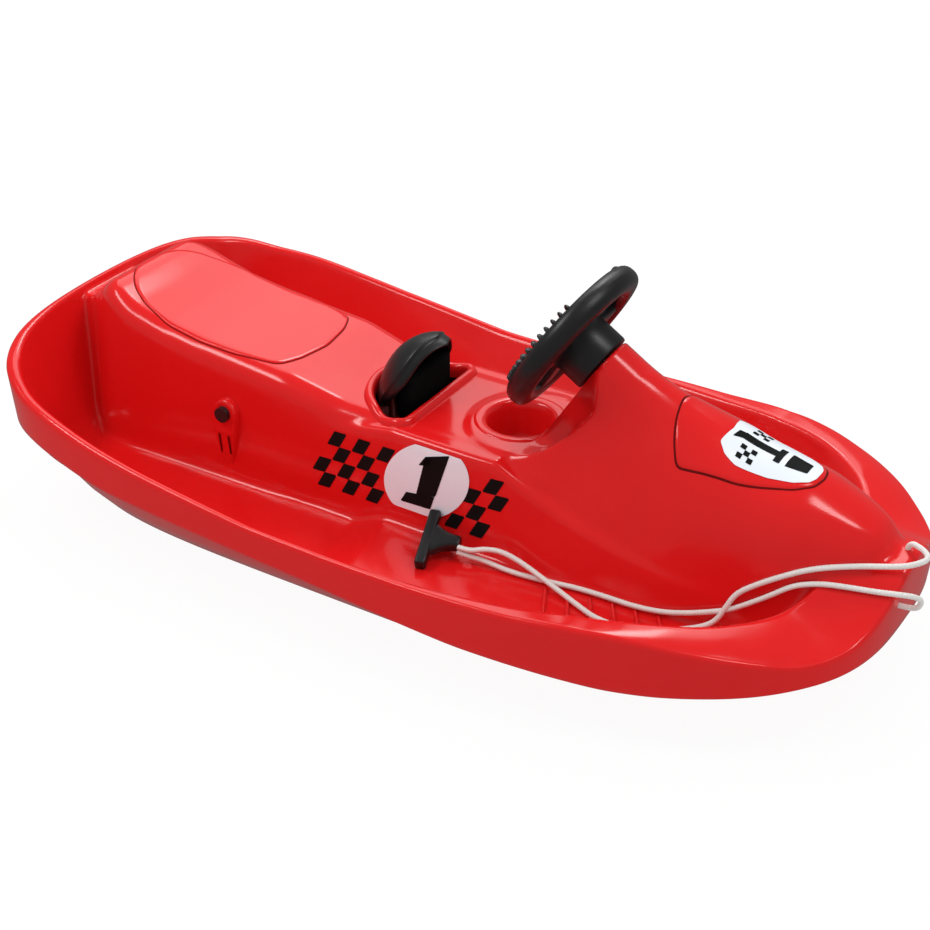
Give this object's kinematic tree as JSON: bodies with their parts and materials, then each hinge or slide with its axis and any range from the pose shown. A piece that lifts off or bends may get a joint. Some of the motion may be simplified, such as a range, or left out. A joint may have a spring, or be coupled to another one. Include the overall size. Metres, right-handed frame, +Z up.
{
  "type": "steering sled",
  "caption": "Moulded plastic child's sled with a seat pod, a steering wheel that turns a ski under the nose, a pull-up claw brake and a tow rope.",
  "frame": {"origin": "on the ground under the middle of the hull's length and width", "axes": "+X forwards to the bow, +Y to the rider's left, +Z up"},
  "size_m": [1.0709, 0.5474, 0.367],
  "materials": {
    "red_plastic": "gloss",
    "black_plastic": "satin",
    "dark_plastic": "satin",
    "nylon": "satin",
    "steel": "satin",
    "rope": "matt"
  },
  "bodies": {
    "hull": {"hull_shell": "red_plastic", "nose_hatch": "red_plastic", "tow_handle": "black_plastic", "column_bearing": "dark_plastic", "steering_bridge": "dark_plastic", "column_bush": "nylon", "kingpin_bush": "nylon", "bridge_screws": "steel", "bearing_screws": "steel", "rope_strand_a": "rope", "rope_strand_b": "rope", "rope_knots": "rope"},
    "steering": {"steering_wheel": "black_plastic", "wheel_cap": "black_plastic", "wheel_bolt": "steel", "steering_column": "steel", "crank_arm": "dark_plastic", "crank_pin": "steel", "ball_stud": "steel"},
    "ski": {"kingpin": "steel", "tiller_fork": "dark_plastic", "tiller_pin": "steel", "thrust_washer": "nylon", "ski_foot": "dark_plastic", "ski_rivets": "steel", "steering_ski": "dark_plastic"},
    "brake": {"brake_axle": "steel", "axle_caps": "black_plastic", "brake_lever": "dark_plastic", "lever_pin": "steel", "handle_screws": "steel", "brake_claw": "steel", "claw_rivets": "steel", "return_spring": "steel", "brake_handle": "black_plastic"}
  },
  "joints": [
    {"name": "wheel_turn", "type": "hinge", "parent": "hull", "child": "steering", "pos_m": [0.128, 0, 0.288], "axis": [-0.848, 0, 0.5299], "range_deg": [-30, 30]},
    {"name": "ski_turn", "type": "hinge", "parent": "hull", "child": "ski", "pos_m": [0.28588, 0, 0.1], "axis": [0, 0, 1], "range_deg": [-29, 29]},
    {"name": "brake_pull", "type": "hinge", "parent": "hull", "child": "brake", "pos_m": [-0.259, 0, 0.13], "axis": [0, -1, 0], "range_deg": [0, 18], "stiffness_Nm_per_rad": 1, "springref_deg": -11.46}
  ],
  "couplings": [
    {"joint": "ski_turn", "follows": "wheel_turn", "ratio": 0.95}
  ]
}
